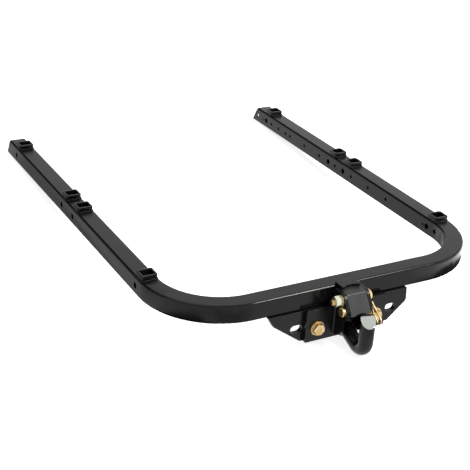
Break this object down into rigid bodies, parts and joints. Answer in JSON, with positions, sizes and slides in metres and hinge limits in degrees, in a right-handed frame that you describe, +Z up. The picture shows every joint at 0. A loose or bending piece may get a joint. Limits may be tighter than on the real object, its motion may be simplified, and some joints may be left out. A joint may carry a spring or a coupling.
{
  "type": "snow machine pintle hitch",
  "caption": "U-shaped frame of square tube with low sockets on its rails and a bolted pintle hook under the bend, closed by a sprung swinging latch with a headed lock pin and clip.",
  "frame": {"origin": "tow point: the centre of the hook bend, on the middle plane of the hitch", "axes": "+Z up, +Y forward along the rails (the hook points to -Y), +X to the right seen from behind"},
  "size_m": [0.4752, 0.684, 0.0854],
  "materials": {
    "base_paint": "gloss black powder coat",
    "bolt_zinc": "yellow zinc plating",
    "clip_zinc": "yellow zinc plating",
    "ear_paint": "gloss black powder coat",
    "hook_steel": "gloss black powder coat, bare steel on the bevelled tip",
    "latch_paint": "gloss black powder coat",
    "pin_zinc": "yellow zinc plating",
    "pivot_zinc": "yellow zinc plating",
    "plate_paint": "gloss black powder coat",
    "socket_paint": "gloss black powder coat",
    "spring_steel": "oiled spring wire",
    "tab_paint": "gloss black powder coat",
    "tube_paint": "gloss black powder coat",
    "washer_zinc": "yellow zinc plating"
  },
  "bodies": {
    "frame": {"bracket_base": "base_paint", "frame_tube": "tube_paint", "gusset_plate": "plate_paint", "hook": "hook_steel", "latch_spring": "spring_steel", "left_base_bolt": "bolt_zinc", "left_base_nut": "bolt_zinc", "left_base_washers": "washer_zinc", "left_ear": "ear_paint", "left_socket_1": "socket_paint", "left_socket_2": "socket_paint", "left_socket_3": "socket_paint", "left_socket_4": "socket_paint", "pivot_bolt": "pivot_zinc", "pivot_nut": "pivot_zinc", "pivot_washer": "pivot_zinc", "right_base_bolt": "bolt_zinc", "right_base_nut": "bolt_zinc", "right_base_washers": "washer_zinc", "right_ear": "ear_paint", "right_socket_1": "socket_paint", "right_socket_2": "socket_paint", "right_socket_3": "socket_paint", "right_socket_4": "socket_paint", "stop_tab": "tab_paint"},
    "latch": {"latch": "latch_paint"},
    "lock_pin": {"lock_pin": "pin_zinc"},
    "spring_clip": {"spring_clip": "clip_zinc"}
  },
  "joints": [
    {"name": "latch_hinge", "type": "hinge", "parent": "frame", "child": "latch", "pos_m": [0, 0.0215, 0.045], "axis": [-1, 0, 0], "range_deg": [0, 75], "stiffness_Nm_per_rad": 0.05, "springref_deg": -57.3, "deforming": ["latch_spring"]},
    {"name": "lock_pin_turn", "type": "hinge", "parent": "frame", "child": "lock_pin", "pos_m": [0, 0.0129, 0.0337], "axis": [1, 0, 0], "range_deg": [-8, 70]},
    {"name": "clip_pull", "type": "slide", "parent": "lock_pin", "child": "spring_clip", "axis": [0, -0.766, -0.6428], "range_m": [0, 0.014]}
  ]
}
